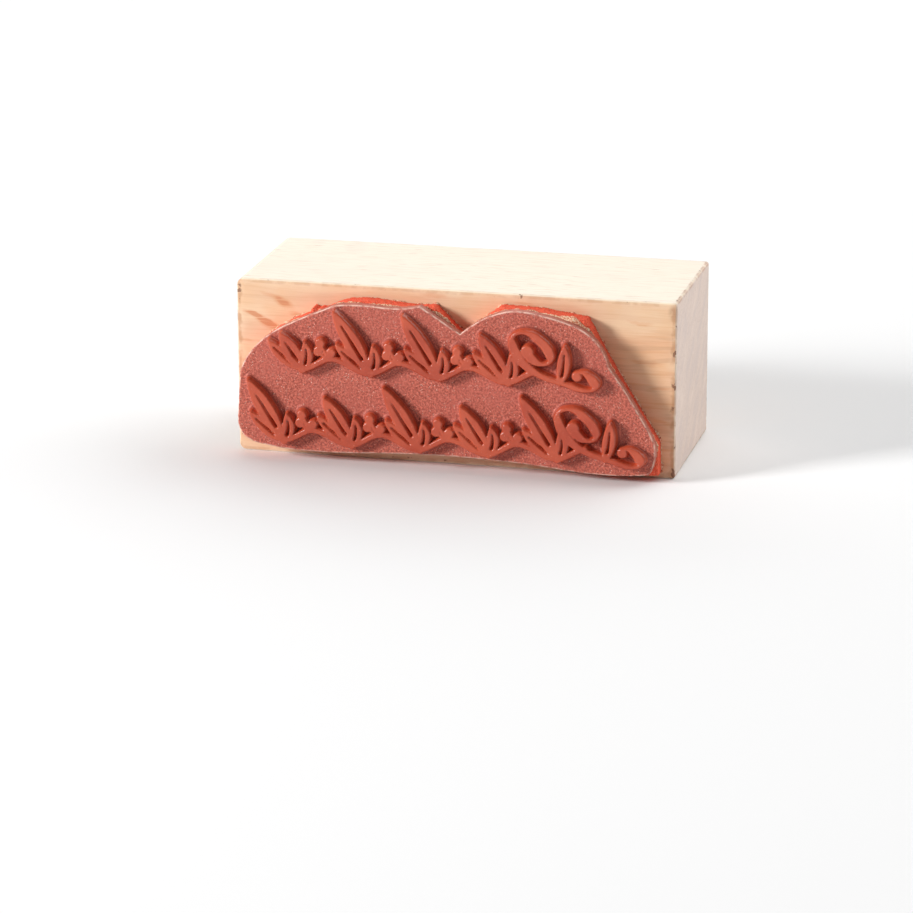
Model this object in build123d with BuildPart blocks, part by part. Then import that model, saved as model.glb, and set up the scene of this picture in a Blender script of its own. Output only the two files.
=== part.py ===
from build123d import *
import os
from math import cos, hypot, pi, sin

# A wood-mounted greeting stamp, standing on one long side with its rubber die to the front.
# Millimetres.  X runs along the beech bar, Z is up, and -Y is the side that prints.
# The origin is on the floor, under the middle of the whole stamp.

# ---- driving dimensions -------------------------------------------------------------------
block_length = 75.0         # beech bar, cut to length
block_height = 30.0         # the face that carries the die, bottom to top
block_thickness = 29.0      # die face to index face
soft_corner = 1.3           # the bar's four long corners, where they meet its -X end
crisp_corner = 0.5          # the same at the freshly sawn +X end
eased_edge = 0.3            # every other arris, broken with fine paper

ink_film = 0.06             # the index print
glue_film = 0.15            # each of the two adhesive layers
foam_thickness = 2.6        # sponge cushion
sheet_thickness = 1.6       # rubber behind the design
relief_height = 1.6         # how far the design stands out of the sheet
relief_root = 0.2           # how deep the relief reaches into the sheet, so that both are one

pen_slant = 0.6             # sideways lean of the design for each unit of height
hairline = 0.66             # the pen's thinnest stroke
full_stroke = 2.05          # its thickest, on strokes along the slant
row_height = 5.75           # body of a row of the design
tall_leaf = 11.0            # height of the leaves that stand out of the row
middle_leaf = 8.6
tall_belly = 2.9            # width of those leaves, and of the two at their sides
side_belly = 2.1
leaf_end = 0.22             # half the width of a leaf at its ends
rib_width = 0.55            # the rib cut out of a leaf, at its foot
berry_radius = 0.78
foot_radius = 0.62          # the knob that a sprig grows from
vine_half = 0.42            # half the width of the stem along a row
vine_height = 1.75          # its middle above the baseline
vine_wave = 1.05            # how far it waves up and down
sprig_pitch = 11.7          # from sprig to sprig
upper_row = 15.75           # baselines of the two rows, above the floor
lower_row = 3.15
stations_per_span = 5       # places on each span of a stroke where its width is set

# ---- places along Y, from the printing crest to the index print ----------------------------
total_depth = relief_height + sheet_thickness + foam_thickness + 2 * glue_film
total_depth += block_thickness + ink_film
crest_y = -total_depth / 2
sheet_front_y = crest_y + relief_height
sheet_back_y = sheet_front_y + sheet_thickness
foam_front_y = sheet_back_y + glue_film
foam_back_y = foam_front_y + foam_thickness
wood_front_y = foam_back_y + glue_film
wood_back_y = wood_front_y + block_thickness


def front_plane(y):
    """A plane that faces -Y, with X to its right and Z up."""
    return Plane((0, y, 0), x_dir=(1, 0, 0), z_dir=(0, -1, 0))


def reading_plane(y):
    """A plane that faces +Y, on which the design reads the right way round."""
    return Plane((0, y, 0), x_dir=(-1, 0, 0), z_dir=(0, 1, 0))


# ---- the pen ------------------------------------------------------------------------------
def lean(points, baseline):
    """Points of an upright drawing, leaned over by the slant and set on a baseline."""
    return [(x + pen_slant * z, z + baseline) for x, z in points]


def inked_line(points, baseline, half_width):
    """A closed outline round a spline.  half_width(t, direction) is half the line there."""
    with BuildLine():
        path = Spline(*lean(points, baseline))
    count = stations_per_span * (len(points) - 1)
    left, right = [], []
    for i in range(count + 1):
        t = i / count
        direction = path % t
        side = Vector(-direction.Y, direction.X) * half_width(t, direction)
        left.append(path @ t + side)
        right.append(path @ t - side)
    start_tip = path @ 0 - (path % 0) * (left[0] - right[0]).length / 2
    end_tip = path @ 1 + (path % 1) * (left[-1] - right[-1]).length / 2
    with BuildSketch() as line:
        with BuildLine():
            Spline(*left)
            ThreePointArc(left[-1], end_tip, right[-1])
            Spline(*reversed(right))
            ThreePointArc(right[0], start_tip, left[0])
        make_face()
    return line.sketch


def pen_stroke(points, baseline, weight):
    """A pen line, thick along the slant and thin across it, that begins as a fine tip."""
    def half_width(t, direction):
        along = abs(direction.X * pen_slant + direction.Y) / hypot(pen_slant, 1)
        width = hairline + (full_stroke - hairline) * along**4
        return weight * width / 2 * min(1, 0.3 + 7 * t)
    return inked_line(points, baseline, half_width)


def leaf(foot, tip, baseline, belly, bow=0.0):
    """A pointed leaf, bowed sideways at its middle, with its rib cut out of it."""
    def on_middle_line(t):
        side = 4 * t * (1 - t) * bow
        return (foot[0] + (tip[0] - foot[0]) * t + side, foot[1] + (tip[1] - foot[1]) * t)

    def half_blade(t, direction):
        return leaf_end + (belly / 2 - leaf_end) * sin(pi * t) ** 0.8

    def half_rib(t, direction):
        return rib_width * (0.55 - 0.3 * t)
    blade = inked_line([on_middle_line(t) for t in (0, 0.5, 1)], baseline, half_blade)
    rib = inked_line([on_middle_line(t) for t in (0.24, 0.5, 0.78)], baseline, half_rib)
    with BuildSketch() as ribbed:
        add(blade)
        add(rib, mode=Mode.SUBTRACT)
    return ribbed.sketch


def stalk(points, baseline, half):
    """A stem of one width."""
    return inked_line(points, baseline, lambda t, direction: half)


def ball(x, z, baseline, radius):
    """A round berry, or the knob in which a curl ends."""
    with BuildSketch() as knob:
        with Locations(*lean([(x, z)], baseline)):
            Circle(radius)
    return knob.sketch


def curl(x, z, radius, start, turns, shrink):
    """Points, eight to a turn, that roll inwards round a middle to shrink times the radius."""
    narrow = 0.9
    count = round(8 * turns)
    points = []
    for k in range(count + 1):
        angle = start + 2 * pi * k / 8
        r = radius * shrink ** (k / count)
        points.append((x + narrow * r * cos(angle), z + r * sin(angle)))
    return points


# ---- the motifs of the design, each a list of shapes to be joined --------------------------
def vine(first, last, baseline):
    """The stem of a row, which waves from sprig to sprig."""
    quarter = sprig_pitch / 4
    points = []
    for k in range(round((last - first) / quarter) + 1):
        points.append((first + k * quarter, vine_height + vine_wave * cos(pi * k / 2)))
    return [stalk(points, baseline, vine_half)]


def sprig(x, baseline, height):
    """A tall leaf between two that spread to its sides, all from one foot on the vine."""
    foot = (x, vine_height - vine_wave)
    spread, side_height = 3.1, row_height - 0.5
    return [
        leaf(foot, (x + 0.2, height - leaf_end), baseline, tall_belly),
        leaf(foot, (x - spread, side_height), baseline, side_belly, bow=-0.5),
        leaf(foot, (x + spread, side_height), baseline, side_belly, bow=0.5),
        ball(*foot, baseline, foot_radius),
    ]


def berries(x, baseline):
    """Three berries on short stalks, standing on a crest of the vine."""
    foot_z = vine_height + vine_wave - 0.2
    shapes = []
    for dx, dz in ((-1.0, 1.3), (0.0, 2.8), (1.15, 1.4)):
        path = [(x, foot_z), (x + 0.6 * dx, foot_z + 0.5 * dz), (x + dx, foot_z + dz)]
        shapes += [stalk(path, baseline, 0.28), ball(x + dx, foot_z + dz, baseline, berry_radius)]
    return shapes


def scroll(x, baseline):
    """The large scroll that opens a row, rolled up at both of its ends, with a leaf on its back."""
    roll = curl(x + 7, 6.3, 4.7, -pi / 2, 1.25, 0.36)
    knob_x, knob_z = roll[-1]
    tail = [(x + 2.6, 2.6), (x + 1.3, 3.25), (x + 0.05, 2.3), (x + 0.2, 0.75), (x + 1.9, 0.2)]
    return [
        pen_stroke(tail + [(x + 4.2, 0.75)] + roll, baseline, 0.8),
        leaf((x + 6.1, 0.9), (x + 1.4, 7.4), baseline, side_belly, bow=-0.2),
        ball(x + 2.3, 2.5, baseline, 0.8),
        ball(knob_x - 0.3, knob_z, baseline, 0.95),
    ]


upper_sprigs = [(-11.0, middle_leaf), (0.7, tall_leaf), (12.4, tall_leaf), (24.1, 6.8)]
lower_sprigs = [(-19.4, tall_leaf), (-7.7, middle_leaf), (4.0, tall_leaf), (15.7, middle_leaf),
                (27.4, tall_leaf)]
with BuildSketch() as flourish:
    motifs = scroll(-25.9, upper_row) + scroll(-33.6, lower_row)
    for sprigs, baseline in ((upper_sprigs, upper_row), (lower_sprigs, lower_row)):
        for x, height in sprigs:
            motifs += sprig(x, baseline, height)
        for x, height in sprigs[:-1]:
            motifs += berries(x + sprig_pitch / 2, baseline)
        motifs += vine(sprigs[0][0] - sprig_pitch / 2, sprigs[-1][0], baseline)
    add(motifs)


# ---- outlines cut with scissors, seen from the front ---------------------------------------
def shared_cuts(bottom_right, crown_left):
    """The cuts that go through rubber and foam alike: along the bottom and up the left side."""
    Spline(bottom_right, (25, 1.3), (16, 2), (-11, 2.4), (-30, 2.3), (-33, 2.8))
    Spline((-33, 2.8), (-35.4, 4.1), (-36.3, 7.7))
    Line((-36.3, 7.7), (-35.8, 15.2))
    Spline((-35.8, 15.2), (-29.6, 22.5), (-25, 24.9), crown_left)


def rubber_outline():
    """The die: two crowns with a notch between them, and soft corners on the right."""
    with BuildSketch() as outline:
        with BuildLine():
            shared_cuts((34.1, 1.8), (-19.9, 27.2))
            Spline((-19.9, 27.2), (-17.5, 27.6), (-11, 27.5), (-4.8, 28.1))
            Line((-4.8, 28.1), (2.1, 23.8))
            Spline((2.1, 23.8), (6.2, 26.7), (10, 28.1), (17, 27.5), (23, 25.5), (27.1, 19.7))
            Spline((27.1, 19.7), (32.9, 10.9), (34.8, 7.3))
            Spline((34.8, 7.3), (35, 5), (34.1, 1.8))
        make_face()
    return outline.sketch


def foam_outline():
    """The cushion: the same cuts, but left wider at the crowns and down the right side."""
    with BuildSketch() as outline:
        with BuildLine():
            shared_cuts((35.4, 1.1), (-20.4, 26.6))
            Spline((-20.4, 26.6), (-18.1, 27.6), (-13, 28), (-2.8, 27.7))
            Line((-2.8, 27.7), (1.7, 23.4))
            Spline((1.7, 23.4), (5.5, 26.1), (8.4, 28.2))
            Spline((8.4, 28.2), (15, 28), (22.9, 27))
            Spline((22.9, 27), (29.9, 15.1), (35.2, 6.6))
            Line((35.2, 6.6), (35.4, 1.1))
        make_face()
    return outline.sketch


# ---- beech_block: the handle, a bar of beech -------------------------------------------------
with BuildPart() as beech_block:
    with BuildSketch(front_plane(wood_front_y)):
        with Locations((0, block_height / 2)):
            Rectangle(block_length, block_height)
    extrude(amount=-block_thickness)
    upright = beech_block.edges().filter_by(Axis.Y)
    fillet(upright.group_by(Axis.X)[0], soft_corner)
    upright = beech_block.edges().filter_by(Axis.Y)
    fillet(upright.group_by(Axis.X)[-1], crisp_corner)
    rims = beech_block.faces().filter_by(Axis.Y).edges()
    fillet(rims, eased_edge)
beech_block.part.label = "beech_block"

# ---- index_print: the design inked on the back of the bar ------------------------------------
with BuildPart() as index_print:
    with BuildSketch(reading_plane(wood_back_y)):
        add(flourish.sketch)
    extrude(amount=ink_film)
index_print.part.label = "index_print"

# ---- block_adhesive: the film between wood and foam ------------------------------------------
with BuildPart() as block_adhesive:
    with BuildSketch(front_plane(wood_front_y)):
        add(foam_outline())
    extrude(amount=glue_film)
block_adhesive.part.label = "block_adhesive"

# ---- foam_cushion: the sponge that lets the die find the paper -------------------------------
with BuildPart() as foam_cushion:
    with BuildSketch(front_plane(foam_back_y)):
        add(foam_outline())
    extrude(amount=foam_thickness)
foam_cushion.part.label = "foam_cushion"

# ---- die_adhesive: the film between foam and rubber ------------------------------------------
with BuildPart() as die_adhesive:
    with BuildSketch(front_plane(foam_front_y)):
        add(rubber_outline())
        add(foam_outline(), mode=Mode.INTERSECT)
    extrude(amount=glue_film)
die_adhesive.part.label = "die_adhesive"

# ---- rubber_die: sheet and design, moulded in one --------------------------------------------
with BuildPart() as rubber_die:
    with BuildSketch(front_plane(sheet_back_y)):
        add(rubber_outline())
    extrude(amount=sheet_thickness)
    with BuildSketch(reading_plane(sheet_front_y + relief_root)):
        add(flourish.sketch)
    extrude(amount=-(relief_height + relief_root))
rubber_die.part.label = "rubber_die"

os.makedirs("parts", exist_ok=True)
for piece in (beech_block, index_print, block_adhesive, foam_cushion, die_adhesive, rubber_die):
    export_step(piece.part, f"parts/{piece.part.label}.step")
    box = piece.part.bounding_box()
    print(f"{piece.part.label}: {len(piece.part.solids())} solids, volume {piece.part.volume:.1f},"
          f" x {box.min.X:.2f} to {box.max.X:.2f}, y {box.min.Y:.2f} to {box.max.Y:.2f},"
          f" z {box.min.Z:.2f} to {box.max.Z:.2f}")
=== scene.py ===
"""A wood-mounted rubber stamp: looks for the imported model.

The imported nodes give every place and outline.  The beech bar, the foam, the two adhesive films and
the moulded die are remade here with their real edges, grain and relief, and the index print keeps
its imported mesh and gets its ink.
"""
import math

import bmesh
import bpy
import numpy as np
from mathutils import Matrix, Vector, noise
from mathutils.bvhtree import BVHTree
from mathutils.geometry import delaunay_2d_cdt
from mathutils.kdtree import KDTree


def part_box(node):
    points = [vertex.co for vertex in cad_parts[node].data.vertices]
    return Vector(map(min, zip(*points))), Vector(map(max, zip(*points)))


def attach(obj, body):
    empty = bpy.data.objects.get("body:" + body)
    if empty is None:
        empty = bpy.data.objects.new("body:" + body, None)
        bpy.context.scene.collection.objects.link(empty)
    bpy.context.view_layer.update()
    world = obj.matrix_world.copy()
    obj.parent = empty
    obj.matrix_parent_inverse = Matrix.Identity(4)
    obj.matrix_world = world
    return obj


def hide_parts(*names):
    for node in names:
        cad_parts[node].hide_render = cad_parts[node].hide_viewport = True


MM = 0.001

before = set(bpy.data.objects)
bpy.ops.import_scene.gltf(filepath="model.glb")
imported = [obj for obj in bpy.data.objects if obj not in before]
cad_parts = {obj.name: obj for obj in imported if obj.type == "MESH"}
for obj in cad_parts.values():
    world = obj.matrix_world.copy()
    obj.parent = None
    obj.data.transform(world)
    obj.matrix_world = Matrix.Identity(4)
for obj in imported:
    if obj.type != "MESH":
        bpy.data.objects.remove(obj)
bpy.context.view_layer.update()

# ---- the stamp's own sizes, read from the frame ------------------------------------------------
wood_low, wood_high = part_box("beech_block")
foam_low, foam_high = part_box("foam_cushion")
die_low, die_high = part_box("rubber_die")
glue_low, glue_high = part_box("die_adhesive")
WOOD_FRONT, WOOD_BACK = wood_low.y, wood_high.y
FOAM_FRONT, FOAM_BACK = foam_low.y, foam_high.y
CREST, SHEET_BACK = die_low.y, die_high.y
RELIEF = 1.6 * MM               # how far the design stands out of the sheet
SHEET_FRONT = CREST + RELIEF


# ================================================================================================
# Outlines and meshes
# ================================================================================================
def flat_triangles(node, depth):
    """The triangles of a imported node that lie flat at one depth: points (x, z) and triples."""
    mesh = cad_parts[node].data
    spots = np.zeros(len(mesh.vertices) * 3)
    mesh.vertices.foreach_get("co", spots)
    spots = spots.reshape(-1, 3)
    mesh.calc_loop_triangles()
    corners = np.zeros(len(mesh.loop_triangles) * 3, int)
    mesh.loop_triangles.foreach_get("vertices", corners)
    corners = corners.reshape(-1, 3)
    flatness = 2e-6
    corners = corners[np.all(np.abs(spots[corners][:, :, 1] - depth) < flatness, axis=1)]
    # corners that meet within a tenth of a micron are one point
    keys = np.round(spots[corners.ravel()][:, [0, 2]] * 1e7).astype(np.int64)
    unique, index = np.unique(keys, axis=0, return_inverse=True)
    return unique * 1e-7, index.reshape(-1, 3)


def outline_loops(points, triangles):
    """The closed outlines round a set of flat triangles."""
    sides = {}
    for a, b, c in triangles:
        for start, end in ((a, b), (b, c), (c, a)):
            if (end, start) in sides:
                del sides[(end, start)]
            else:
                sides[(start, end)] = True
    following = {start: end for start, end in sides}
    loops = []
    while following:
        start, here = following.popitem()
        loop = [start]
        while here != start:
            loop.append(here)
            here = following.pop(here)
        loops.append(points[loop])
    return loops


def resample(loop, step):
    """A closed outline again, with points evenly spaced along it."""
    closed = np.vstack([loop, loop[:1]])
    lengths = np.hypot(*np.diff(closed, axis=0).T)
    along = np.concatenate([[0], np.cumsum(lengths)])
    count = max(8, round(along[-1] / step))
    where = np.arange(count) * along[-1] / count
    return np.column_stack([np.interp(where, along, closed[:, k]) for k in (0, 1)])


def outward(loop):
    """The unit vectors that point out of a closed outline at each of its points."""
    ahead = np.roll(loop, -1, axis=0) - np.roll(loop, 1, axis=0)
    side = np.column_stack([ahead[:, 1], -ahead[:, 0]])
    side /= np.maximum(np.hypot(*side.T), 1e-12)[:, None]
    area = np.sum(loop[:, 0] * np.roll(loop[:, 1], -1) - np.roll(loop[:, 0], -1) * loop[:, 1])
    return side if area > 0 else -side


def noise_shift(seed):
    """Where in the noise a seed reads, so that two seeds never give the same bumps."""
    return Vector((seed * 3.1, seed * 7.7, seed * 1.3))


def wobble(spots, size, seed):
    """Smooth noise from -1 to 1 at points given in metres, with features of a size."""
    shift = noise_shift(seed)
    return np.array([noise.noise(Vector(spot) / size + shift) for spot in spots])


def roughness(spots, size, octaves, seed):
    """Fractal noise, rougher than wobble."""
    shift = noise_shift(seed)
    return np.array([
        noise.fractal(Vector(spot) / size + shift, 1.0, 2.0, octaves) for spot in spots
    ])


def as_3d(loop, depth):
    """Points (x, z) set at one depth."""
    return np.column_stack([loop[:, 0], np.full(len(loop), depth), loop[:, 1]])


def make_piece(name, spots, faces, finish, smooth=True):
    """A mesh object from points and faces, with its faces turned outwards."""
    mesh = bpy.data.meshes.new(name)
    mesh.from_pydata([tuple(s) for s in spots], [], [tuple(int(i) for i in f) for f in faces])
    work = bmesh.new()
    work.from_mesh(mesh)
    bmesh.ops.recalc_face_normals(work, faces=work.faces)
    work.to_mesh(mesh)
    work.free()
    mesh.polygons.foreach_set("use_smooth", [smooth] * len(mesh.polygons))
    mesh.materials.append(finish)
    piece = bpy.data.objects.new(name, mesh)
    bpy.context.scene.collection.objects.link(piece)
    return piece


def paint(piece, name, levels):
    """Stores one number for each point of a piece, for its material to read."""
    stored = piece.data.attributes.new(name, "FLOAT", "POINT")
    stored.data.foreach_set("value", np.asarray(levels, float))


def bridge(first, second, count):
    """Quads between two rings of points that start at two indices."""
    return [
        (first + i, first + (i + 1) % count, second + (i + 1) % count, second + i)
        for i in range(count)
    ]


def fill(loop, inner, extras=()):
    """Triangles inside a closed outline, through inner points and along extra loops."""
    points = [Vector(p / MM) for p in loop]
    edges = [(i, (i + 1) % len(loop)) for i in range(len(loop))]
    for extra in extras:
        first = len(points)
        points += [Vector(p / MM) for p in extra]
        edges += [(first + i, first + (i + 1) % len(extra)) for i in range(len(extra))]
    points += [Vector(p / MM) for p in inner]
    made = delaunay_2d_cdt(points, edges, [], 0, 1e-5, False)
    flat = np.array([(p.x, p.y) for p in made[0]]) * MM
    triangles = np.array([tuple(t) for t in made[2]])
    return flat, triangles[within(flat[triangles].mean(axis=1), loop)]


def nearest_distances(spots, loops, step):
    """How far each (x, z) is from the nearest of some closed outlines, measured at steps."""
    marks = np.vstack([resample(loop, step) for loop in loops])
    tree = KDTree(len(marks))
    for i, mark in enumerate(marks):
        tree.insert((mark[0], 0, mark[1]), i)
    tree.balance()
    return np.array([tree.find((x, 0, z))[2] for x, z in spots])


def inside(spots, points, triangles):
    """Whether each (x, z) lies on a set of flat triangles."""
    tree = BVHTree.FromPolygons(
        [(p[0], 0, p[1]) for p in points], [tuple(int(i) for i in t) for t in triangles]
    )
    touching = 1e-7
    return np.array([tree.find_nearest((x, 0, z))[3] < touching for x, z in spots])


def honeycomb(low, high, step):
    """Points over a rectangle, each row set half a step over from the one below."""
    rows = []
    height = step * math.sqrt(3) / 2
    for k in range(int((high[1] - low[1]) / height) + 1):
        x = np.arange(low[0] + (k % 2) * step / 2, high[0], step)
        rows.append(np.column_stack([x, np.full(len(x), low[1] + k * height)]))
    return np.vstack(rows)


def within(spots, loop):
    """Whether each (x, z) is inside one closed outline."""
    x, z = spots[:, 0], spots[:, 1]
    odd = np.zeros(len(spots), bool)
    for (x1, z1), (x2, z2) in zip(loop, np.roll(loop, -1, axis=0)):
        if z1 == z2:
            continue
        crosses = (z1 > z) != (z2 > z)
        odd ^= crosses & (x < (x2 - x1) * (z - z1) / (z2 - z1) + x1)
    return odd


class Shell:
    """A closed piece under construction: rings of points from front to back, then two faces."""

    def __init__(self):
        self.spots = []
        self.faces = []

    def point_count(self):
        return sum(len(spots) for spots in self.spots)

    def add_rings(self, rings):
        count = len(rings[0])
        for ring in rings:
            self.spots.append(ring)
        for k in range(len(rings) - 1):
            self.faces += bridge(k * count, (k + 1) * count, count)

    def close(self, k, depth, low, high, step, mark_step, clear, front=None):
        """Closes ring k, flat at a depth, through a honeycomb of points that keeps clear of it."""
        rim = self.spots[k][:, [0, 2]]
        count = len(rim)
        grid = honeycomb(low, high, step)
        grid = grid[within(grid, rim)]
        grid = grid[nearest_distances(grid, [rim], mark_step) > clear]
        flat, triangles = fill(rim, grid)
        first = self.point_count()
        face = as_3d(flat[count:], depth)
        if front is not None:
            face[:, 1] += front(face)
        self.spots.append(face)
        place = [k * count + i if i < count else first + i - count for i in range(len(flat))]
        self.faces += [tuple(place[i] for i in triangle) for triangle in triangles]


# ================================================================================================
# Shaders
# ================================================================================================
class Value:
    """A socket of a shader.  Python's operators on it add Math nodes."""

    def __init__(self, shader, socket):
        self.shader = shader
        self.socket = socket

    def math(self, operation, *others):
        sockets = dict(enumerate((self,) + others))
        return self.shader.node("ShaderNodeMath", {"operation": operation}, sockets)

    def __add__(self, other):
        return self.math("ADD", other)

    def __sub__(self, other):
        return self.math("SUBTRACT", other)

    def __rsub__(self, other):
        return (self * -1.0).math("ADD", other)

    def __mul__(self, other):
        return self.math("MULTIPLY", other)

    def __abs__(self):
        return self.math("ABSOLUTE")

    def capped(self):
        return self.math("MINIMUM", 1.0)

    __radd__ = __add__
    __rmul__ = __mul__


class Finish:
    """One material under construction."""

    def __init__(self, name, **fixed):
        self.material = bpy.data.materials.new(name)
        self.material.use_nodes = True
        self.tree = self.material.node_tree
        self.bsdf = self.tree.nodes["Principled BSDF"]
        for socket, value in fixed.items():
            self.bsdf.inputs[socket.replace("_", " ")].default_value = value

    def node(self, kind, settings=None, inputs=None, output=0):
        """Adds a node: settings first, then the values or links of its sockets."""
        made = self.tree.nodes.new(kind)
        for key, value in (settings or {}).items():
            setattr(made, key, value)
        for key, value in (inputs or {}).items():
            if isinstance(value, Value):
                self.tree.links.new(value.socket, made.inputs[key])
            else:
                made.inputs[key].default_value = value
        return Value(self, made.outputs[output])

    def place(self):
        """The point on the object, in millimetres."""
        spot = self.node("ShaderNodeTexCoord", output="Object")
        return self.node("ShaderNodeMapping", None, {"Vector": spot, "Scale": (1000, 1000, 1000)})

    def stretched(self, place, sizes, shift=(0, 0, 0)):
        """The point divided by a size along each axis."""
        scale = tuple(1 / s for s in sizes)
        return self.node(
            "ShaderNodeMapping", None, {"Vector": place, "Scale": scale, "Location": shift}
        )

    def split(self, vector):
        """The x, y and z of a vector."""
        made = self.node("ShaderNodeSeparateXYZ", None, {0: vector}).socket.node
        return [Value(self, socket) for socket in made.outputs]

    def join(self, x, y, z):
        """A vector from its x, y and z."""
        return self.node("ShaderNodeCombineXYZ", None, {0: x, 1: y, 2: z})

    def noise(self, vector, scale=1.0, detail=2.0, rough=0.5):
        """Cloudy noise from 0 to 1."""
        sockets = {"Vector": vector, "Scale": scale, "Detail": detail, "Roughness": rough}
        return self.node("ShaderNodeTexNoise", None, sockets)

    def cells(self, vector, scale=1.0):
        """How far a point is from the middle of its cell."""
        return self.node("ShaderNodeTexVoronoi", None, {"Vector": vector, "Scale": scale})

    def cell_tone(self, vector, scale=1.0):
        """A random number for each cell."""
        sockets = {"Vector": vector, "Scale": scale}
        colour = self.node("ShaderNodeTexVoronoi", None, sockets, "Color")
        return self.split(colour)[0]

    def lens(self, place, centre, half_sizes, tilt):
        """A soft lens-shaped mark: 1 in the middle, 0 at its outline, tilted about Y."""
        sockets = {"Vector": place, "Location": centre, "Rotation": (0, math.radians(tilt), 0)}
        sockets["Scale"] = half_sizes
        local = self.node("ShaderNodeMapping", {"vector_type": "TEXTURE"}, sockets)
        away = self.node("ShaderNodeVectorMath", {"operation": "LENGTH"}, {0: local}, "Value")
        return self.step(away, 1.0, 0.25)

    def step(self, value, low, high, out_low=0.0, out_high=1.0):
        """A smooth step between two values, from one level to another."""
        sockets = {"Value": value, "From Min": low, "From Max": high}
        sockets.update({"To Min": out_low, "To Max": out_high})
        return self.node("ShaderNodeMapRange", {"interpolation_type": "SMOOTHSTEP"}, sockets)

    def mix(self, factor, first, second, blend="MIX"):
        """Two colours mixed by a factor."""
        settings = {"data_type": "RGBA", "blend_type": blend}
        return self.node("ShaderNodeMix", settings, {0: factor, 6: first, 7: second}, output=2)

    def attribute(self, name):
        """A number painted on the piece's points."""
        return self.node("ShaderNodeAttribute", {"attribute_name": name}, output="Fac")

    def bump(self, height, distance):
        """Small relief, as deep as a distance where the height is 1."""
        sockets = {"Height": height, "Distance": distance, "Strength": 1.0}
        normal = self.node("ShaderNodeBump", None, sockets)
        self.tree.links.new(normal.socket, self.bsdf.inputs["Normal"])

    def feed(self, socket, value):
        """Links a value to a socket of the surface."""
        self.tree.links.new(value.socket, self.bsdf.inputs[socket])


def srgb(red, green, blue):
    """A colour given in 0 to 255 display levels, as the linear colour that a shader takes."""
    def linear(level):
        level /= 255
        return level / 12.92 if level <= 0.04045 else ((level + 0.055) / 1.055) ** 2.4
    return (linear(red), linear(green), linear(blue), 1.0)


# lens-shaped streaks on the die face, in mm and degrees:
# (middle x, middle z, half length, half width, tilt, strength)
FIGURE = (
    (-31.4, 27.3, 2.6, 0.55, 14, 0.5), (-29.4, 26.1, 2.5, 1.00, 24, 0.9),
    (-35.0, 24.1, 2.6, 0.55, 13, 0.9), (-33.0, 23.1, 3.2, 0.80, 27, 0.9),
    (-31.4, 22.0, 3.0, 1.00, 20, 0.9), (-26.6, 24.2, 2.4, 0.60, 9, 0.7),
    (-36.2, 19.2, 2.2, 0.50, 10, 0.5), (-35.6, 15.2, 2.2, 0.80, 22, 0.6),
    (-3.4, 28.9, 3.2, 0.60, 5, 0.5), (12.4, 28.4, 3.4, 0.50, 6, 0.5),
    (31.4, 26.3, 3.0, 0.50, 4, 0.6), (32.6, 19.8, 3.8, 0.70, 7, 0.9),
    (34.6, 15.2, 3.0, 0.55, -5, 0.7), (35.4, 9.8, 2.6, 0.50, 4, 0.7),
)
# dark dashes of ray: (size of a cell along each axis, shift of the cells, share left plain)
RAYS = (((11.5, 40, 0.86), (0, 0, 0), 0.34), ((7.5, 40, 0.68), (4, 9, 7), 0.46))


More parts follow.
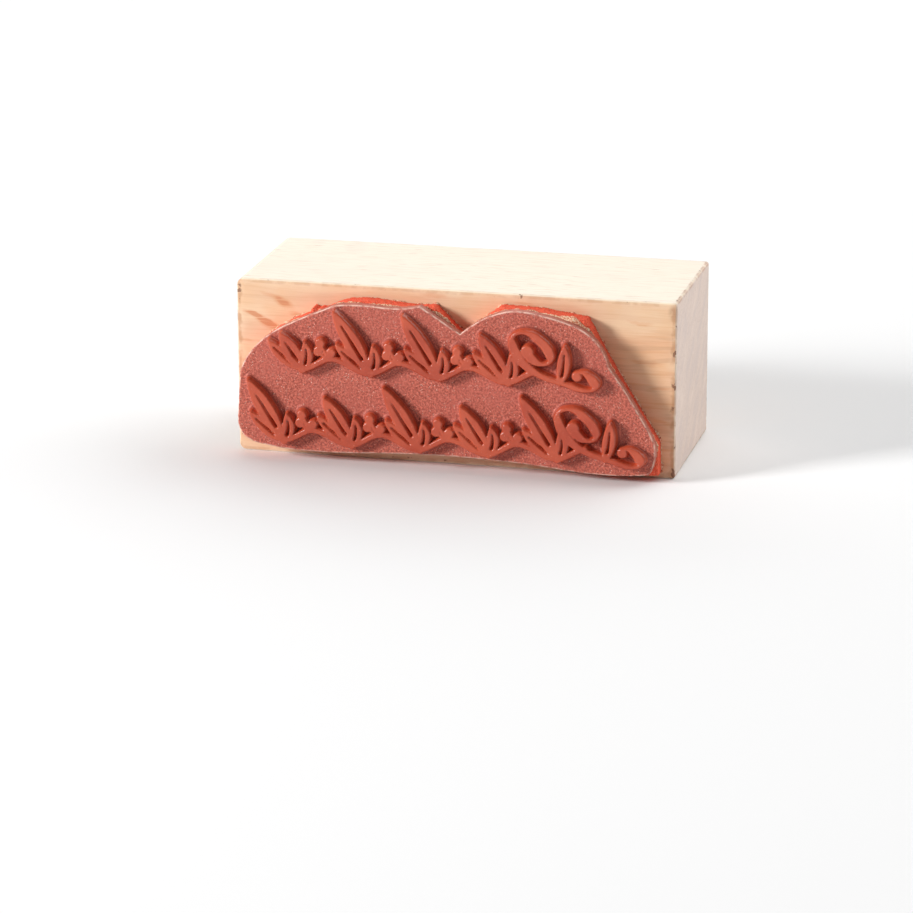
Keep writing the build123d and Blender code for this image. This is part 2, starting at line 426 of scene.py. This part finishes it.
class Beech(Finish):
    """Sanded beech: fibres along X, rays that show as dashes on the index face, and grey ends."""

    def __init__(self):
        super().__init__("sanded_beech")
        self.spot = self.place()
        self.x, self.y, self.z = self.split(self.spot)
        self.sway = self.noise(self.stretched(self.spot, (38, 18, 18)), detail=1) - 0.5
        drift = self.sway * 4.0
        self.wavy = self.join(self.x, self.y + drift, self.z + drift)
        self.broad = self.noise(self.stretched(self.wavy, (46, 12, 4.0)), detail=3)
        self.band = self.noise(self.stretched(self.wavy, (30, 6, 1.1)), detail=3, rough=0.6)
        self.fibre = self.noise(self.stretched(self.wavy, (7, 0.30, 0.24)), detail=4, rough=0.65)
        self.near_die = self.step(self.y, 8.0, -6.0)

    def ground(self):
        """Peach-coloured wood with bands and fibres."""
        cloud = self.noise(self.stretched(self.spot, (7, 7, 4)), detail=3)
        light, middle, dark = srgb(235, 203, 168), srgb(226, 186, 152), srgb(200, 146, 108)
        colour = self.mix(self.step(self.broad, 0.34, 0.66), light, middle)
        colour = self.mix(self.step(cloud, 0.46, 0.66) * 0.35, colour, srgb(228, 182, 136))
        colour = self.mix(self.step(self.band, 0.50, 0.72) * 0.20, colour, dark)
        colour = self.mix(self.step(self.fibre, 0.50, 0.74) * 0.26, colour, dark)
        return self.mix(self.step(self.fibre, 0.44, 0.24) * 0.30, colour, srgb(244, 217, 188))

    def rays(self, toward_back):
        """Short dashes, dense towards the index face and few near the die."""
        dashes = 0.0
        for size, shift, plain in RAYS:
            cell = self.stretched(self.wavy, size, shift)
            chosen = self.step(self.cell_tone(cell), plain, plain + 0.35)
            dashes += self.step(self.cells(cell), 0.22, 0.10) * chosen
        return dashes.capped() * toward_back

    def figured(self, colour):
        """Orange streaks of figure, most of them slanting across the left end of the die face."""
        curl = self.noise(self.stretched(self.spot, (3.2, 20, 3.2)), detail=2) - 0.5
        curled = self.join(self.x, self.y, self.z + curl * 1.3)
        streaks = 0.0
        for middle_x, middle_z, half_length, half_width, tilt, strength in FIGURE:
            middle = (middle_x, WOOD_FRONT / MM, middle_z)
            streaks += self.lens(curled, middle, (half_length, 14.0, half_width), tilt) * strength
        threads = self.step(self.fibre, 0.30, 0.56, 0.40, 1.0)
        streaks = streaks.capped() * threads * self.near_die
        colour = self.mix(streaks * 0.70, colour, srgb(208, 132, 80))
        return self.mix(self.step(streaks, 0.55, 0.95) * 0.35, colour, srgb(190, 104, 56))

    def rippled_and_shaded(self, colour):
        """Darker wavy bands at the right end of the die face, over painted shade that darkens that
        end below its top.
        """
        wave = self.join(self.x, self.y, self.z + self.sway * 9.0)
        ripple = self.noise(self.stretched(wave, (11, 8, 0.85)), detail=3)
        shaded_right_end = self.step(self.x, 16.0, 30.0) * self.near_die * self.step(self.z, 28.5, 22.0)
        ripples = self.step(ripple, 0.48, 0.62) * shaded_right_end
        bands = self.step(self.band, 0.52, 0.66) * shaded_right_end
        # painted shade: a darker, more orange tint for the die's shadow and the light falling off
        # towards the right end
        colour = self.mix(shaded_right_end * 0.30, colour, srgb(230, 162, 110))
        colour = self.mix(ripples * 0.40, colour, srgb(198, 150, 118))
        return self.mix(bands * 0.40, colour, srgb(210, 140, 92))

    def long_sides_with_sheen(self, colour):
        """The top and the underside, cut along the rays, look paler: partly their own lighter wood
        and partly painted sheen.
        """
        middle, side_begins, side_full = 15.0, 14.72, 14.96
        on_side = self.step(abs(self.z - middle), side_begins, side_full)
        thread = self.noise(self.stretched(self.wavy, (5.5, 0.24, 2.0)), detail=3, rough=0.6)
        cell = self.stretched(self.wavy, (6.0, 0.55, 40))
        flecks = self.step(self.cells(cell), 0.20, 0.08)
        flecks *= self.step(self.cell_tone(cell), 0.62, 0.9)
        threads = self.step(thread, 0.50, 0.72)
        # pale cream of the top and underside: partly the wood's own tone, partly painted sheen
        side = self.mix(threads * 0.65, srgb(238, 229, 212), srgb(206, 178, 154))
        side = self.mix(self.step(self.broad, 0.42, 0.70) * 0.4, side, srgb(241, 222, 206))
        side = self.mix(flecks * 0.75, side, srgb(168, 128, 104))
        return self.mix(on_side * 0.90, colour, side)

    def sawn_ends(self, colour, on_end, pores, slanted):
        """Greyish pink ends, with streaks that slant up to the back, and painted shade that darkens
        the left end.
        """
        rows = self.noise(slanted, 0.22, detail=2)
        end = self.mix(self.step(pores, 0.46, 0.72), srgb(227, 206, 193), srgb(209, 185, 170))
        end = self.mix(self.step(rows, 0.46, 0.64) * 0.35, end, srgb(208, 190, 184))
        end = self.mix(self.step(rows, 0.46, 0.28) * 0.40, end, srgb(240, 220, 206))
        # painted shade: the left end faces the key light, so it is multiplied darker
        left, left_end_shade = self.step(self.x, 1.0, -1.0), (0.66, 0.62, 0.57, 1.0)
        end = self.mix(left, end, left_end_shade, "MULTIPLY")
        return self.mix(on_end, colour, end)

    def arrises(self, colour):
        """The broken arrises: cream where scuffed, with painted highlight along their rounding, and
        brown where dirt has caught.
        """
        arris, brim = self.attribute("arris"), self.attribute("brim")
        worn_begins, worn_full = 36.0, 37.1
        by_end = self.step(abs(self.x), worn_begins, worn_full)
        rubbed_and_lit = self.noise(self.stretched(self.spot, (2.2, 2.2, 2.2)), detail=3)
        # cream along the arris: scuffed wood, and painted highlight on its rounding
        colour = self.mix(arris * self.step(rubbed_and_lit, 0.30, 0.46) * 0.75, colour,
                          srgb(246, 226, 198))
        line = self.step(brim, 0.36, 0.54) * self.step(arris, 0.9, 0.4)
        line *= self.step(rubbed_and_lit, 0.62, 0.42) * (by_end * 0.25 + 0.30)
        colour = self.mix(line, colour, srgb(186, 130, 90))
        dirt = self.noise(self.stretched(self.spot, (1.5, 0.8, 1.5)), detail=3)
        grip = 0.67 - by_end * 0.055        # dirt catches more easily by the ends
        specks = self.step(dirt, grip, grip + 0.045) * self.step(brim, 0.34, 0.56)
        corner = self.lens(self.spot, (37.1, WOOD_FRONT / MM, 28.3), (1.3, 1.5, 1.9), 0)
        smudge = corner * self.step(rubbed_and_lit, 0.36, 0.60, 0.4, 1.0)
        colour = self.mix(smudge * 0.7, colour, srgb(168, 118, 84))
        return self.mix(specks * 0.85, colour, srgb(128, 82, 56))


def beech():
    """The bar's finish, laid on from the ground colour to the dirt on the arrises."""
    wood = Beech()
    toward_back = wood.step(wood.y, -12.0, 16.0, 0.02, 1.0)
    rays = wood.rays(toward_back)
    colour = wood.mix(toward_back * 0.45, wood.ground(), srgb(222, 168, 124))
    colour = wood.mix(rays * 0.85, colour, srgb(146, 80, 44))
    colour = wood.long_sides_with_sheen(wood.rippled_and_shaded(wood.figured(colour)))
    end_begins, end_full = 37.28, 37.42
    on_end = wood.step(abs(wood.x), end_begins, end_full)
    slanted = wood.node("ShaderNodeMapping", {"vector_type": "TEXTURE"}, {
        "Vector": wood.spot, "Rotation": (math.radians(41), 0, 0), "Scale": (1.0, 1.3, 0.42)})
    pores = wood.noise(slanted, 1.6, detail=4, rough=0.7)
    colour = wood.arrises(wood.sawn_ends(colour, on_end, pores, slanted))
    wood.feed("Base Color", colour)
    wood.feed("Roughness", wood.step(wood.fibre, 0.2, 0.8, 0.46, 0.62))
    fine = wood.noise(wood.stretched(wood.wavy, (2.6, 0.12, 0.09)), detail=2)
    wood.bump(wood.fibre * 0.6 + fine * 0.5 - rays * 0.5 + pores * on_end, 0.03 * MM)
    return wood.material


def die_rubber():
    """Moulded rubber: a grainy, powdery floor with painted glints and painted shade at the feet of
    the crests, smoother crests, and pale cut edges with painted highlight.
    """
    rubber = Finish("moulded_rubber")
    place = rubber.place()
    height = rubber.attribute("relief")
    lip, cut = rubber.attribute("cut_lip"), rubber.attribute("cut_side")
    grain = rubber.noise(place, 3.0, detail=3, rough=0.65)
    coarse = rubber.noise(place, 1.3, detail=2)
    patch = rubber.noise(place, 0.14, detail=3)
    floor = rubber.mix(rubber.step(grain, 0.34, 0.66), srgb(138, 55, 41), srgb(210, 110, 89))
    floor = rubber.mix(rubber.step(patch, 0.38, 0.68) * 0.4, floor, srgb(184, 90, 76))
    floor = rubber.mix(rubber.step(coarse, 0.55, 0.75) * 0.25, floor, srgb(206, 120, 104))
    # pale specks: talc, and painted glints on the grain
    specks = rubber.cells(place, 2.1)
    powder = rubber.step(specks, 0.24, 0.10) * rubber.step(rubber.cell_tone(place, 2.1), 0.62, 0.95)
    floor = rubber.mix(powder * 0.7, floor, srgb(240, 188, 170))
    # darker colour at the feet of the crests: partly their own darker rubber, partly painted shade
    foot = rubber.step(height, 0.04, 0.20)
    floor = rubber.mix(foot * 0.6, floor, srgb(138, 50, 36))
    crest = rubber.mix(rubber.step(patch, 0.3, 0.7), srgb(170, 64, 40), srgb(190, 82, 54))
    crest = rubber.mix(rubber.step(coarse, 0.5, 0.8) * 0.3, crest, srgb(202, 96, 68))
    # pale specks on the crests: talc, and painted glints
    crest = rubber.mix(powder * 0.35, crest, srgb(232, 160, 136))
    raised = rubber.step(height, 0.18, 0.44)
    colour = rubber.mix(raised, floor, crest)
    wall = rubber.mix(rubber.step(grain, 0.4, 0.7), srgb(196, 118, 100), srgb(160, 78, 64))
    colour = rubber.mix(cut, colour, wall)
    # pale line along the cut lip: talc, and painted highlight on its rounded edge, broken up by
    # noise
    lip_breaks = rubber.step(rubber.noise(place, 0.9, detail=3), 0.34, 0.58, 0.15, 0.95)
    colour = rubber.mix(lip * lip_breaks, colour, srgb(244, 208, 190))
    rubber.feed("Base Color", colour)
    rubber.feed("Roughness", rubber.step(raised, 0.0, 1.0, 0.60, 0.25))
    rubber.bump(grain * (1 - raised * 0.75) + powder * 0.8 * (1 - raised), 0.1 * MM)
    return rubber.material


def sponge_foam():
    """Bright red sponge with fine open cells."""
    foam = Finish("red_sponge", Roughness=0.8)
    place = foam.place()
    cells = foam.cells(place, 3.6)
    small = foam.noise(place, 6.0, detail=3, rough=0.7)
    pits = foam.step(cells, 0.10, 0.46)
    colour = foam.mix(pits, srgb(224, 56, 34), srgb(248, 92, 60))
    colour = foam.mix(foam.step(small, 0.50, 0.64) * 0.70, colour, srgb(248, 140, 104))
    colour = foam.mix(foam.step(small, 0.42, 0.32) * 0.5, colour, srgb(150, 28, 18))
    foam.feed("Base Color", colour)
    foam.bump(pits * 0.7 + small * 0.6, 0.14 * MM)
    return foam.material


def adhesive():
    """Cream adhesive film with crumbs and dust along its torn edge."""
    film = Finish("cream_adhesive", Roughness=0.5)
    place = film.place()
    mottle = film.noise(place, 3.4, detail=4, rough=0.75)
    colour = film.mix(film.step(mottle, 0.42, 0.54), srgb(246, 216, 180), srgb(222, 126, 90))
    colour = film.mix(film.step(mottle, 0.56, 0.64), colour, srgb(150, 62, 40))
    film.feed("Base Color", colour)
    film.bump(mottle, 0.12 * MM)
    return film.material


def index_ink():
    """Near-black printing ink, a little thin where it lies on hard grain."""
    ink = Finish("index_ink", Specular_IOR_Level=0.3)
    place = ink.place()
    fibre = ink.noise(ink.stretched(place, (5, 0.2, 0.2)), detail=4, rough=0.6)
    pinholes = ink.noise(ink.stretched(place, (0.5, 0.5, 0.2)), detail=2)
    thin = ink.step(fibre, 0.58, 0.78) * 0.7 + ink.step(pinholes, 0.70, 0.76) * 0.5
    colour = ink.mix(thin.capped(), srgb(31, 21, 21), srgb(78, 58, 50))
    ink.feed("Base Color", colour)
    ink.feed("Roughness", ink.step(fibre, 0.3, 0.7, 0.40, 0.60))
    ink.bump(fibre, 0.01 * MM)
    return ink.material


# ================================================================================================
# Pieces
# ================================================================================================
def rounded_outline(half_length, half_height, corners):
    """A rectangle round the origin whose corners, from the lower right, have their own radii."""
    steps_round, spacing = 8, 0.8 * MM
    loop = []
    for k, (side, top, radius) in enumerate(corners):
        middle = (side * (half_length - radius), top * (half_height - radius))
        for i in range(steps_round + 1):
            angle = math.radians(-90 + 90 * k) + math.radians(90) * i / steps_round
            loop.append((middle[0] + radius * math.cos(angle),
                         middle[1] + radius * math.sin(angle)))
        side, top, radius = corners[(k + 1) % 4]
        angle = math.radians(-90 + 90 * k) + math.radians(90)
        here = np.array(loop[-1])
        there = np.array([side * (half_length - radius) + radius * math.cos(angle),
                          top * (half_height - radius) + radius * math.sin(angle)])
        count = round(np.hypot(*(there - here)) / spacing)
        loop += [tuple(here + (there - here) * i / count) for i in range(1, count)]
    return np.array(loop)


def beech_bar(finish):
    """The bar: rounded long corners, and arrises broken by hand, so that they waver."""
    half_length = wood_high.x
    middle_z = (wood_low.z + wood_high.z) / 2
    half_height = (wood_high.z - wood_low.z) / 2
    soft, crisp, eased = 1.3 * MM, 0.5 * MM, 0.3 * MM
    corners = [(1, -1, crisp), (1, 1, crisp), (-1, 1, soft), (-1, -1, soft)]
    loop = rounded_outline(half_length, half_height, corners)
    normal = outward(loop)
    loop[:, 1] += middle_z

    flat_loop = as_3d(loop, 0)
    waver = 1 + 0.45 * wobble(flat_loop, 4 * MM, 5) + 0.2 * wobble(flat_loop, 1.1 * MM, 6)
    back_waver = 1 + 0.45 * wobble(flat_loop, 4 * MM, 7)
    quarter = np.radians(np.linspace(0, 90, 6))

    def arris_ring(face, inward, wave, angle):
        """One ring round an arris, from the face at 0 degrees to the sides at 90."""
        radius = eased * wave
        ring = loop - normal * (radius * (1 - math.sin(angle)))[:, None]
        return np.column_stack([
            ring[:, 0], face + inward * radius * (1 - math.cos(angle)), ring[:, 1]
        ])
    rings = [arris_ring(WOOD_FRONT, 1, waver, angle) for angle in quarter]
    rings += [as_3d(loop, depth) for depth in np.linspace(WOOD_FRONT, WOOD_BACK, 32)[1:-1]]
    rings += [arris_ring(WOOD_BACK, -1, back_waver, angle) for angle in quarter[::-1]]
    shell = Shell()
    shell.add_rings(rings)
    for k, depth in ((0, WOOD_FRONT), (len(rings) - 1, WOOD_BACK)):
        shell.close(k, depth, (wood_low.x, wood_low.z), (wood_high.x, wood_high.z),
                    step=1.5 * MM, mark_step=0.4 * MM, clear=0.8 * MM)
    spots = np.vstack(shell.spots)
    piece = make_piece("beech_bar", spots, shell.faces, finish)

    off_end = half_length - np.abs(spots[:, 0])
    off_side = half_height - np.abs(spots[:, 2] - middle_z)
    off_face = np.minimum(spots[:, 1] - WOOD_FRONT, WOOD_BACK - spots[:, 1])
    # reach of the cream arris (scuffed wood and painted highlight) and of the dirt, in mm
    rubbed_and_lit_within, soiled_within = 0.28, 0.9
    off_arris = np.sort(np.column_stack([off_end, off_side, off_face]), axis=1)[:, 1] / MM
    paint(piece, "arris", np.clip(1.25 - off_arris / rubbed_and_lit_within, 0, 1))
    paint(piece, "brim", np.clip(1.0 - off_arris / soiled_within, 0, 1))
    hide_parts("beech_block")
    return piece


def walls(loop, depths, rough, seed):
    """Rings of points round an outline from front to back, each pushed in and out by noise."""
    normal = outward(loop)
    rings = []
    for depth in depths:
        spots = as_3d(loop, depth)
        rings.append(spots + as_3d(normal, 0) * rough(spots, seed)[:, None])
    return rings


def slab(name, loop, depths, rough, finish, seed, step, front=None):
    """A sheet with a rough cut edge: walls round an outline, closed in front and behind."""
    back_step = 3 * MM
    shell = Shell()
    rings = walls(loop, depths, rough, seed)
    shell.add_rings(rings)
    for k, spacing, bulge in ((0, step, front), (len(rings) - 1, back_step, None)):
        rim = rings[k][:, [0, 2]]
        shell.close(k, depths[k], rim.min(axis=0), rim.max(axis=0), step=spacing,
                    mark_step=0.2 * MM, clear=0.5 * spacing, front=bulge)
    return make_piece(name, np.vstack(shell.spots), shell.faces, finish)


def sponge(finish):
    """The foam cushion: open cells along its cut, and a slightly uneven skin."""
    loop = resample(outline_loops(*flat_triangles("foam_cushion", FOAM_BACK))[0], 0.17 * MM)

    def rough(spots, seed):
        cell_size = 0.34 * MM
        cells = np.array([noise.cell_vector(Vector(spot) / cell_size).x for spot in spots])
        crumb = 0.9 * near(spots, -23.4, 25.7, 0.55) + 0.4 * near(spots, -22.3, 26.2, 0.4)
        return (roughness(spots, 0.5 * MM, 3, seed) * 0.11 + wobble(spots, 5 * MM, 4) * 0.16
                + (cells - 0.5) * 0.03 - 0.06 + crumb) * MM
    depths = np.linspace(FOAM_FRONT, FOAM_BACK, 17)
    piece = slab("sponge_cushion", loop, depths, rough, finish, 3, 0.9 * MM,
                 front=lambda face: np.abs(wobble(face, 0.9 * MM, 8)) * 0.05 * MM)
    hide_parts("foam_cushion")
    return piece


def adhesive_film(name, node, depth_front, depth_back, spill, finish, seed):
    """A film whose edge is torn rather than cut, and stands out by its spill, in mm."""
    loop = resample(outline_loops(*flat_triangles(node, depth_front))[0], 0.2 * MM)

    def rough(spots, seed):
        return (roughness(spots, 1.1 * MM, 4, seed) * 0.3 + spill(spots)) * MM
    piece = slab(name, loop, np.linspace(depth_front, depth_back, 4), rough, finish, seed, 2 * MM)
    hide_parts(node)
    return piece


def near(spots, x, z, reach):
    """A bump from 1 to 0 round a place given in millimetres."""
    away = np.hypot(spots[:, 0] / MM - x, spots[:, 2] / MM - z)
    return np.exp(-(away / reach) ** 2)


def squeezed_out(spots):
    """How far the die's adhesive stands past its cut, in mm: most beside the crowns."""
    return 0.06 + 0.5 * near(spots, -1.0, 26.2, 2.2) + 0.8 * near(spots, 20.5, 26.8, 2.6)


def relief_height(distance):
    """Height of the moulded rubber at a signed distance, in mm, outside the edge of a crest."""
    top = RELIEF / MM
    shoulder, shoulder_drop = 0.16, 0.07
    wall, wall_foot, flare = 0.28, 0.42, 0.5
    d = np.asarray(distance)
    crest = top - shoulder_drop * np.clip(1 + d / shoulder, 0, 1) ** 2
    side = top - shoulder_drop + (wall_foot - top + shoulder_drop) * np.clip(d / wall, 0, 1)
    foot = wall_foot * np.clip(1 - (d - wall) / flare, 0, 1) ** 2
    return np.where(d < 0, crest, np.where(d < wall, side, foot))


def moulded_die(finish):
    """The die: the design's crests with flaring sides, standing on a grainy sheet."""
    step = 0.15 * MM
    edge_marks, crest_marks, clear = 0.06 * MM, 0.04 * MM, 0.55 * step
    crest_points, crest_triangles = flat_triangles("rubber_die", CREST)
    crests = [resample(loop, step) for loop in outline_loops(crest_points, crest_triangles)]
    edge = resample(outline_loops(*flat_triangles("rubber_die", SHEET_BACK))[0], step)
    edge = edge + outward(edge) * (wobble(as_3d(edge, 0), 2.5 * MM, 9) * 0.05 * MM)[:, None]

    grid = honeycomb(edge.min(axis=0), edge.max(axis=0), step)
    grid = grid[within(grid, edge)]
    keep = nearest_distances(grid, [edge] + crests, edge_marks) > clear
    flat, triangles = fill(edge, grid[keep], crests)
    distance = nearest_distances(flat, crests, crest_marks) / MM
    distance = np.where(inside(flat, crest_points, crest_triangles), -distance, distance)
    distance += 0.05 * wobble(as_3d(flat, 0), 1.3 * MM, 15)
    height = relief_height(distance)
    to_edge = nearest_distances(flat, [edge], edge_marks) / MM
    grain = roughness(as_3d(flat, 0), 0.34 * MM, 3, 2)
    floor = np.clip(1 - height / 0.5, 0, 1)
    floor_grain, crest_grain = 0.03, 0.006
    height += grain * (floor_grain * floor + crest_grain)
    rounding, rounded_within = 0.05, 0.17
    height -= rounding * np.clip(1 - to_edge / rounded_within, 0, 1) ** 2

    spots = [np.column_stack([flat[:, 0], SHEET_FRONT - height * MM, flat[:, 1]])]
    faces = [tuple(triangle) for triangle in triangles]
    count = len(edge)
    normal = outward(edge)
    depths = np.linspace(SHEET_FRONT, SHEET_BACK, 9)[1:]
    for k, depth in enumerate(depths):
        ring = as_3d(edge, depth)
        ring += as_3d(normal, 0) * (roughness(ring, 0.6 * MM, 3, 12) * 0.035 * MM)[:, None]
        first = sum(len(some) for some in spots)
        faces += bridge(0 if k == 0 else first - count, first, count)
        spots.append(ring)
    back = len(flat) + (len(depths) - 1) * count
    last = spots[-1][:, [0, 2]]
    _, back_triangles = fill(last, np.zeros((0, 2)))
    faces += [tuple(back + i for i in triangle) for triangle in back_triangles]
    piece = make_piece("moulded_die", np.vstack(spots), faces, finish)
    on_side = len(depths) * count
    paint(piece, "relief", np.append(np.clip(height / (RELIEF / MM), 0, 1), np.zeros(on_side)))
    # where the pale lip line lies: talc and painted highlight, also on the first ring of the side
    lip_width, lip_on_side = 0.16, 0.6
    lip = np.append(np.clip(1.3 - to_edge / lip_width, 0, 1), np.zeros(on_side))
    lip[len(flat):len(flat) + count] = lip_on_side
    paint(piece, "cut_lip", lip)
    paint(piece, "cut_side", np.append(np.zeros(len(flat)), np.ones(on_side)))
    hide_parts("rubber_die")
    return piece


def grain_tree():
    """A node tree that scatters small round grains over the low parts of a surface."""
    floor_limit = 0.05
    smallest, largest = (0.45, 0.45, 0.30), (1.1, 1.1, 0.8)
    tree = bpy.data.node_groups.new("scattered_grains", "GeometryNodeTree")
    for name, kind in (("Surface", "Geometry"), ("Grains per square metre", "Float"),
                       ("Grain radius", "Float"), ("Seed", "Int"), ("Finish", "Material")):
        tree.interface.new_socket(name, in_out="INPUT", socket_type=f"NodeSocket{kind}")
    tree.interface.new_socket("Grains", in_out="OUTPUT", socket_type="NodeSocketGeometry")

    def node(kind, settings=None, inputs=None):
        made = tree.nodes.new(kind)
        for key, value in (settings or {}).items():
            setattr(made, key, value)
        for key, value in (inputs or {}).items():
            if isinstance(value, bpy.types.NodeSocket):
                tree.links.new(value, made.inputs[key])
            else:
                made.inputs[key].default_value = value
        return made
    given = node("NodeGroupInput").outputs
    relief = node("GeometryNodeInputNamedAttribute", {"data_type": "FLOAT"}, {"Name": "relief"})
    cut = node("GeometryNodeInputNamedAttribute", {"data_type": "FLOAT"}, {"Name": "cut_side"})
    height = node("ShaderNodeMath", {"operation": "ADD"},
                  {0: relief.outputs["Attribute"], 1: cut.outputs["Attribute"]})
    low = node("FunctionNodeCompare", {"operation": "LESS_THAN"},
               {0: height.outputs[0], 1: floor_limit})
    points = node("GeometryNodeDistributePointsOnFaces", {"distribute_method": "RANDOM"}, {
        "Mesh": given["Surface"], "Selection": low.outputs[0],
        "Density": given["Grains per square metre"], "Seed": given["Seed"]})
    grain = node("GeometryNodeMeshIcoSphere", None,
                 {"Radius": given["Grain radius"], "Subdivisions": 1})
    size = node("FunctionNodeRandomValue", {"data_type": "FLOAT_VECTOR"}, {
        0: smallest, 1: largest, "Seed": given["Seed"]})
    grains = node("GeometryNodeInstanceOnPoints", None, {
        "Points": points.outputs["Points"], "Instance": grain.outputs["Mesh"],
        "Rotation": points.outputs["Rotation"], "Scale": size.outputs[0]})
    real = node("GeometryNodeRealizeInstances", None, {0: grains.outputs["Instances"]})
    finished = node("GeometryNodeSetMaterial", None,
                    {"Geometry": real.outputs[0], "Material": given["Finish"]})
    tree.links.new(finished.outputs[0], node("NodeGroupOutput").inputs[0])
    return tree


def scattered(name, surface, tree, sizes, finish):
    """Runs a node tree over a copy of a piece and keeps the result as a plain mesh."""
    carrier = bpy.data.objects.new(name, surface.data.copy())
    bpy.context.scene.collection.objects.link(carrier)
    modifier = carrier.modifiers.new(name, "NODES")
    modifier.node_group = tree
    for item in tree.interface.items_tree:
        if item.in_out == "INPUT" and item.name in sizes:
            modifier[item.identifier] = sizes[item.name]
    evaluated = carrier.evaluated_get(bpy.context.evaluated_depsgraph_get())
    mesh = bpy.data.meshes.new_from_object(evaluated)
    carrier.modifiers.remove(modifier)
    carrier.data = mesh
    mesh.name = name
    mesh.materials.clear()
    mesh.materials.append(finish)
    return carrier


def talc():
    """Pale grains left from moulding."""
    grains = Finish("moulding_talc", Roughness=0.45)
    tone = grains.noise(grains.place(), 0.8, detail=1)
    colour = grains.mix(grains.step(tone, 0.35, 0.65), srgb(240, 200, 184), srgb(206, 128, 108))
    grains.feed("Base Color", colour)
    return grains.material


# ================================================================================================
# Floor, light and camera
# ================================================================================================
# name, place and size in metres, and watts; each lamp faces the middle of the bar
LAMPS = (
    ("key", (-0.93, -0.64, 0.42), (0.27, 0.27), 16.0),
    ("overhead", (0.1, 0.1, 1.3), (0.7, 0.7), 2.5),
    ("back_right", (0.9, 0.75, 0.95), (1.6, 1.2), 17),
    ("behind", (-0.35, 1.25, 0.60), (1.8, 0.7), 8.5),
)


def studio():
    """A pale floor, a key low on the left, and large soft lights above and behind."""
    pale, ambient, half = (0.84, 0.84, 0.84, 1), 0.18, 4.0
    floor = Finish("pale_floor", Roughness=0.9, Base_Color=pale, Specular_IOR_Level=0.0)
    corners = [(-half, -half, 0), (half, -half, 0), (half, half, 0), (-half, half, 0)]
    plane = make_piece("floor", corners, [(0, 1, 2, 3)], floor.material, smooth=False)

    world = bpy.data.worlds.new("studio")
    bpy.context.scene.world = world
    world.use_nodes = True
    sky = world.node_tree.nodes["Background"].inputs
    sky["Color"].default_value = (1, 1, 1, 1)
    sky["Strength"].default_value = ambient

    for name, place, size, watts in LAMPS:
        soft_light(name, place, size, watts)


def soft_light(name, place, size, watts):
    """A rectangular area light that faces the middle of the bar."""
    middle = Vector((0, 0, 0.015))
    lamp = bpy.data.lights.new(name, "AREA")
    lamp.shape = "RECTANGLE"
    lamp.size, lamp.size_y = size
    lamp.energy = watts
    holder = bpy.data.objects.new(name, lamp)
    holder.location = place
    holder.rotation_euler = (middle - Vector(place)).to_track_quat("-Z", "Y").to_euler()
    bpy.context.scene.collection.objects.link(holder)


def camera():
    """The viewer's place: a long lens, a little to the right of the die and above it."""
    lens = bpy.data.cameras.new("camera")
    lens.sensor_width, lens.lens = 36, 164.1        # mm
    lens.clip_start, lens.clip_end = 0.05, 20       # m
    eye = (0.1591, -0.64727 + WOOD_FRONT, 0.20469)
    heading, dip, roll = math.radians(13.78), math.radians(16.97), math.radians(0.13)
    turn = Matrix.Rotation(heading, 4, "Z") @ Matrix.Rotation(math.pi / 2 - dip, 4, "X")
    turn = turn @ Matrix.Rotation(-roll, 4, "Z")
    holder = bpy.data.objects.new("camera", lens)
    holder.matrix_world = Matrix.Translation(eye) @ turn
    bpy.context.scene.collection.objects.link(holder)
    bpy.context.scene.camera = holder


def main():
    """Sets the scene, remakes every piece, and inks the index print."""
    camera()
    studio()
    bpy.context.scene.view_settings.view_transform = "Standard"
    pieces = [beech_bar(beech()), sponge(sponge_foam()), moulded_die(die_rubber())]
    film = adhesive()
    pieces.append(adhesive_film("block_film", "block_adhesive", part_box("block_adhesive")[0].y,
                                WOOD_FRONT, lambda spots: 0.02, film, 21))
    pieces.append(adhesive_film("die_film", "die_adhesive", glue_low.y, glue_high.y,
                                squeezed_out, film, 22))
    powder, die = talc(), pieces[2]
    sizes = {"Grains per square metre": 1.6e6, "Grain radius": 0.09 * MM, "Seed": 4,
             "Finish": powder}
    pieces.append(scattered("talc_grains", die, grain_tree(), sizes, powder))
    slots = ["beech", "sponge_foam", "die_rubber", "adhesive_film", "adhesive_film", "die_rubber"]
    for piece, slot in zip(pieces, slots):
        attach(piece, "root")
    print_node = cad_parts["index_print"]
    print_node.data.materials.clear()
    print_node.data.materials.append(index_ink())


main()
